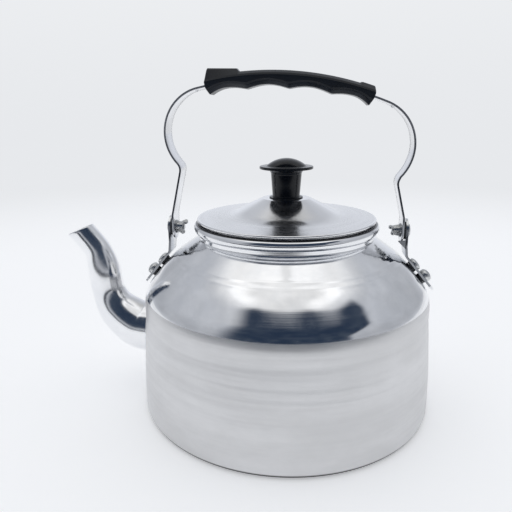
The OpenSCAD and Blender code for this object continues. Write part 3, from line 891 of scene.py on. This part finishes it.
STOP_Z, STOP_T = PIVOT_Z - 5.8, 1.2
stop_outline = rounded(
    [(BRACKET_IN_X + 0.6, STOP_Z), (BRACKET_IN_X - 5.4, STOP_Z), (BRACKET_IN_X + 0.6, STOP_Z - 6)],
    [0.3], n=6,
)
stop = loft("bracket_stop", [
    [(p[0], -STRAP_W / 2 + d, p[1]) for p in stop_outline] for d in (0, 0.05, STOP_T - 0.05, STOP_T)])
piece(right_bracket, "kettle", "strap", BRACKET_METAL, "bracket_right")
piece(stop, "kettle", "strap", BRACKET_METAL)


# ---------------------------------------------------------------- grip

GRIP_X0, GRIP_X1, GRIP_W = -53.6, 56.4, 21.0
GRIP_UP, GRIP_DOWN, GROOVE_D, FINGERS = 5.3, 6.2, 2.1, 4
THUMB_END_X, THUMB_Z = -30.5, 232.0
TAIL_START_X, TAIL_UP = 46.5, 6.2


def arch_z(x):
    return ARCH_C[1] + math.sqrt(ARCH_R ** 2 - (x - ARCH_C[0]) ** 2)


def step_up(x, at, width):
    """A smooth step from 0 to 1, centred on at."""
    t = min(1.0, max(0.0, (x - at) / width + 0.5))
    return t * t * (3 - 2 * t)


def grip_top(x):
    """Thumb block, plain top along the strap's arch, and raised tail."""
    plain = arch_z(x) + GRIP_UP
    thumb = THUMB_Z - 0.02 * (x - THUMB_END_X)
    tail = arch_z(x) + TAIL_UP
    share = 1 - step_up(x, THUMB_END_X - 1.2, 2.2)
    end = step_up(x, TAIL_START_X + 1.0, 2.0)
    return plain + share * (thumb - plain) + end * (tail - plain)


def grip_bottom(x):
    """Finger grooves, with slightly rounded ridges between them."""
    wave = abs(math.sin(math.pi * FINGERS * (x - GRIP_X0) / (GRIP_X1 - GRIP_X0)))
    return arch_z(x) - GRIP_DOWN + GROOVE_D * (1.07 * math.sqrt(wave * wave + 0.0036) - 0.07 * 0.06)


def grip_lean(x, z):
    """The end faces lean inwards above and below the strap."""
    left, right = max(0, 1 - (x - GRIP_X0) / 12), max(0, 1 - (GRIP_X1 - x) / 12)
    below, above = max(0, arch_z(x) - z), max(0, z - arch_z(x))
    return left * (0.5 * below + 0.12 * above) - right * 0.6 * below


def grip_ring(x, inset):
    """The grip's section at x, made smaller by inset."""
    low, top = grip_bottom(x) + inset, grip_top(x) - inset
    edge, w = min(arch_z(x) + 3.1, top - 1.4), GRIP_W / 2 - inset
    half = [
        (0, low), (w - 4, low), (w - 0.8, low + 2.2), (w, low + 3.6),
        (w, edge - 1.4), (w - 1, edge), (w - 5, top - 0.4), (0, top),
    ]
    line = rounded(half, [1.6, 0.8, 0.8, 0.7, 0.7, 3.0], n=6)
    around = line[1:-1] + [(0, top)] + [(-y, z) for y, z in line[-2:0:-1]] + [(0, low)]
    return [(x + grip_lean(x, z), y, z) for y, z in around]


def grip_mesh():
    """Rings along the grip, with rounded ends."""
    r = 0.9
    ends = [(r * (1 - math.cos(a)), r * (1 - math.sin(a))) for a in np.linspace(0, math.pi / 2, 6)]
    rings = [grip_ring(GRIP_X0 + d, inset) for d, inset in ends]
    rings += [grip_ring(x, 0) for x in np.linspace(GRIP_X0 + r, GRIP_X1 - r, 190)[1:-1]]
    rings += [grip_ring(GRIP_X1 - d, inset) for d, inset in reversed(ends)]
    return loft("handle_grip_sleeve", rings, sharp=50)


piece(grip_mesh(), "handle", "black_plastic", GRIP_PLASTIC, "handle_grip")


# ---------------------------------------------------------------- rivets, washers, bolts and nuts

BURR_LOW, BURR_HIGH = -SHEET - 1.3, -SHEET - 0.5
FIT = 0.01


def disc(name, place, outer_r, low, high, sides, edge=0.12):
    """A washer with the standard hole, from low to high along the place's Z."""
    obj = lathe(name, ring_outline(HOLE_R, outer_r, low, high, edge), sides)
    obj.matrix_world = place
    return obj


def rivet(name, side, step, head_h):
    """Formed tail inside the body, shaft, and domed head on the bracket."""
    outside, head_r, tail = SEAL_T + BRACKET_T, 4.6, BURR_LOW
    dome = arc((0, outside + head_h * 0.35), head_r, head_h * 0.65, 0, 90, 16)
    outline = [
        (0, tail - 1.2), (2.3, tail - 1.2), (2.6, tail - 1.0), (3.15, tail - 0.1), (3.15, tail),
        (2, tail), (2, outside), (head_r - 0.3, outside), (head_r, outside + 0.3),
        *dome[:-1], (0, outside + head_h),
    ]
    obj = lathe(name, outline, 64, sharp=40)
    obj.matrix_world = on_shoulder(side, step)
    return obj


for side, word in ((-1, "left"), (1, "right")):
    for step, level, head in zip(RIVET_STEPS, ("upper", "lower"), (2.6, 4.4)):
        tag = f"{word}_{level}"
        place = on_shoulder(side, step)
        piece(rivet(f"rivet_dome_{tag}", side, step, head), "kettle", "rivets", RIVET_METAL, f"rivet_{tag}")
        seal = disc(f"seal_disc_{tag}", place, 4, FIT, SEAL_T - FIT, 48)
        piece(seal, "kettle", "seals", SEAL_FIBRE, f"seal_{tag}")
        burr = disc(f"burr_disc_{tag}", place, 4, BURR_LOW, BURR_HIGH, 48)
        piece(burr, "kettle", "hardware", BOLT_METAL, f"burr_{tag}")

WASHER_OUT_X = STRAP_OUT_X - STRAP_T - GAP
NUT_X = WASHER_OUT_X - 0.8
NUT_LEN, BOLT_R, PITCH, THREAD_DEPTH = 4.0, 2.0, 0.7, 0.22
BOLT_END_X = NUT_X - NUT_LEN - 1


def on_pivot(side):
    """Local Z points outwards along the pivot line, and local X is the kettle's Z."""
    z, x = Vector((side, 0, 0)), Vector((0, 0, 1))
    return axes(x, z.cross(x), z, (0, 0, PIVOT_Z))


def thread(r, z, turn):
    """Cuts a helical V thread into the shaft between its end and the washer."""
    if abs(r - BOLT_R) > 0.01 or not BOLT_END_X + 0.3 < z < WASHER_OUT_X - 0.2:
        return r
    phase = (z / PITCH - turn / TAU) % 1
    return r - THREAD_DEPTH * (1 - abs(2 * phase - 1))


def pivot_bolt(name, side):
    """A threaded shaft from inside the nut out through the bracket, and a domed head."""
    head_r, head_h = 5.2, 2.4
    shaft = [(BOLT_R, z) for z in np.arange(BOLT_END_X + 0.4, BRACKET_OUT_X, PITCH / 6)]
    dome = arc((0, BRACKET_OUT_X + 0.5), head_r, head_h - 0.5, 0, 90, 16)
    outline = [
        (0, BOLT_END_X), (BOLT_R - 0.4, BOLT_END_X), *shaft, (BOLT_R, BRACKET_OUT_X),
        (head_r - 0.2, BRACKET_OUT_X), (head_r, BRACKET_OUT_X + 0.2),
        *dome[:-1], (0, BRACKET_OUT_X + head_h),
    ]
    obj = lathe(name, outline, 48, sharp=40, shape=thread)
    obj.matrix_world = on_pivot(side)
    return obj


def wing_nut(name, side, tilt):
    """Hub and two wings, fused and softened like a casting."""
    hub = lathe("hub", [(HOLE_R, 0), (4.1, 0), (3.3, NUT_LEN), (HOLE_R, NUT_LEN)], 64)
    tip, tip_r, half_t = (5.4, 4.4), 1.9, 0.9
    outline = [(2.7, 0.3), (3.9, 0.3), *arc(tip, tip_r, tip_r, 0, 172, 14), (3.6, 3.9), (2.7, 3.6)]
    parts = [hub]
    for sign in (-1, 1):
        rings = [[(sign * x, y, z) for x, z in outline] for y in (-half_t, half_t)]
        parts.append(loft("wing", rings))
    mesh = bpy.data.meshes.new(name)
    bm = bmesh.new()
    for part in parts:
        bm.from_mesh(part.data)
        bpy.data.objects.remove(part)
    bm.to_mesh(mesh)
    bm.free()
    obj = new_object(name, mesh)
    modified(obj, "REMESH", mode="VOXEL", voxel_size=0.16 * MM)
    modified(obj, "SMOOTH", factor=0.5, iterations=7)
    obj.matrix_world = (
        Matrix.Translation(Vector((side * NUT_X, 0, PIVOT_Z)) * MM)
        @ Matrix.Rotation(math.radians(tilt), 4, "X")
        @ Matrix.Rotation(math.radians(-90 * side), 4, "Y")
    )
    return set_sharp(obj, 60)


for side, word, tilt in ((-1, "left", 118), (1, "right", 100)):
    place = on_pivot(side)
    piece(pivot_bolt(f"pivot_screw_{word}", side), "kettle", "hardware", BOLT_METAL, f"pivot_bolt_{word}")
    spacer = disc(f"pivot_spacer_{word}", place, 6, SPACER_X, BRACKET_IN_X, 64, 0.1)
    piece(spacer, "kettle", "seals", SEAL_FIBRE, f"spacer_{word}")
    washer = disc(f"pivot_disc_{word}", place, 4.8, NUT_X, WASHER_OUT_X, 64)
    piece(washer, f"washer_{word}", "hardware", BOLT_METAL, f"pivot_washer_{word}")
    nut = wing_nut(f"wing_nut_cast_{word}", side, tilt)
    piece(nut, f"nut_{word}", "hardware", NUT_METAL, f"wing_nut_{word}")


# ---------------------------------------------------------------- stage, light and camera

PALE, FLOOR_R = (0.80, 0.815, 0.84), 6000


def floor():
    """Pale paper that fades into the background, with painted shade on its front part that only reflections
    see.
    """
    verts = [(math.cos(TAU * k / 128) * FLOOR_R, math.sin(TAU * k / 128) * FLOOR_R, 0) for k in range(128)]
    obj = mesh_object("floor", verts, [list(range(128))])
    n = Surface(
        "floor_paper", roughness=0.75, specular_ior_level=0.25,
        emission_color=(0.97, 0.98, 1.0, 1), emission_strength=0.44,
    )
    paper = n.own_noise(400.0, 3.0)
    n.link(n.mix(paper, (0.855, 0.862, 0.87, 1), (0.885, 0.89, 0.895, 1)), "Base Color")
    glow = n.add("ShaderNodeEmission", i0=(*PALE, 1))
    far = n.rises(n.radius(), 0.45, 1.3)
    faded = n.add("ShaderNodeMixShader", i0=far, i1=n.shader.outputs[0], i2=glow)
    # Painted shade: a dark front part of the floor, seen only in reflections, stands in for the shadowed room
    # before the kettle.
    unlit = n.add("ShaderNodeBsdfDiffuse", i0=(0.03, 0.04, 0.06, 1))
    reflected = n.math("SUBTRACT", 1.0, n.add("ShaderNodeLightPath", output="Is Camera Ray"))
    front = n.times(n.falls(n.position()[1], -0.52, -0.44), reflected)
    result = n.add("ShaderNodeMixShader", i0=front, i1=faded, i2=unlit)
    n.tree.links.new(result, n.tree.nodes["Material Output"].inputs[0])
    obj.data.materials.append(n.material)


def room():
    """The surroundings: grey sides, a lighter back, a bright ceiling, and a dim bluish room in front.
    Turns and rises are in degrees; turn 0 is straight in front of the kettle."""
    world = bpy.data.worlds.new("room")
    bpy.context.scene.world = world
    world.use_nodes = True
    n = Nodes(world.node_tree)
    x, y, z = n.coordinates("Generated")
    turn = n.times(n.math("ARCTAN2", x, n.times(y, -1.0)), 180 / math.pi)
    rise = n.times(n.math("ARCSINE", z), 180 / math.pi)
    aside = n.math("ABSOLUTE", turn)
    clutter = n.noise(x, y, z, scale=6.0, detail=3.0)

    def ramp(tone, *steps):
        """A tone that changes by each step (from degrees, to degrees, change)."""
        for low, high, change in steps:
            tone = n.plus(tone, n.spread(rise, low, high, 0.0, change))
        return tone

    side = ramp(0.66, (-6, 7, -0.20), (8, 42, 0.08), (44, 62, 0.40), (62, 75, 0.10))
    back = ramp(0.80, (12, 40, -0.26), (62, 80, 0.28))
    ahead = ramp(0.82, (66, 82, 0.08))
    tone = n.mix_float(n.rises(aside, 140, 162), side, back)
    facing = n.times(n.falls(aside, 55, 85), n.rises(rise, 52, 58))
    tone = n.mix_float(facing, tone, ahead)
    rim = n.times(n.spread(aside, 25, 50, 0.0, 0.28), n.falls(aside, 80, 100))
    rim = n.times(rim, n.times(n.rises(rise, 55, 59), n.falls(rise, 62, 68)))
    tone = n.times(n.plus(tone, rim), n.spread(clutter, 0.3, 0.7, 0.94, 1.06))
    tint = n.mix(n.rises(rise, 40, 62), (0.95, 0.985, 1.06, 1), (1.0, 1.0, 1.0, 1))
    light = n.add(
        "ShaderNodeMix", output=2, settings={"data_type": "RGBA", "blend_type": "MULTIPLY"},
        i0=1.0, i6=tone, i7=tint,
    )
    right_edge = n.math("SUBTRACT", turn, n.spread(rise, 16, 40, 52.0, 82.0))
    front = n.times(n.rises(turn, -56, -33), n.falls(right_edge, -3, 3))
    front = n.times(front, n.rises(rise, 4, 11))
    top_edge = n.plus(rise, n.spread(aside, 28, 62, 0.0, 8.0))
    front = n.times(front, n.falls(top_edge, 55, 60.5))
    dim = n.mottled(clutter, 0.4, 0.7, (0.022, 0.036, 0.066), (0.05, 0.066, 0.095))
    light = n.mix(front, light, dim)
    seen = n.mottled(rise, -3, 22, PALE, (0.86, 0.875, 0.895))
    camera_ray = n.add("ShaderNodeLightPath", output="Is Camera Ray")
    background = n.tree.nodes["Background"]
    n.tree.links.new(n.mix(camera_ray, light, seen), background.inputs[0])
    world.cycles.sampling_method = "MANUAL"
    world.cycles.sample_map_resolution = 1024


def camera():
    """The camera, 0.34 m in front of the kettle's axis and a little below the top of its handle."""
    data = bpy.data.cameras.new("camera")
    data.sensor_width, data.lens = 36.0, 35.0
    data.clip_start, data.clip_end = 0.01, 50.0
    heading, pitch, roll = math.radians(-6.515), math.radians(15.809), math.radians(-0.44)
    level = math.cos(pitch)
    forward = Vector((math.sin(heading) * level, math.cos(heading) * level, -math.sin(pitch)))
    right = Vector((math.cos(heading), -math.sin(heading), 0))
    up = right.cross(forward)
    c, s = math.cos(roll), math.sin(roll)
    tilt = Matrix((right * c + up * s, up * c - right * s, -forward))
    obj = new_object("camera", data)
    obj.matrix_world = Matrix.Translation((0.01792, -0.34413, 0.20249)) @ tilt.transposed().to_4x4()
    bpy.context.scene.camera = obj


floor()
room()
camera()
bpy.context.scene.view_settings.view_transform = "Standard"
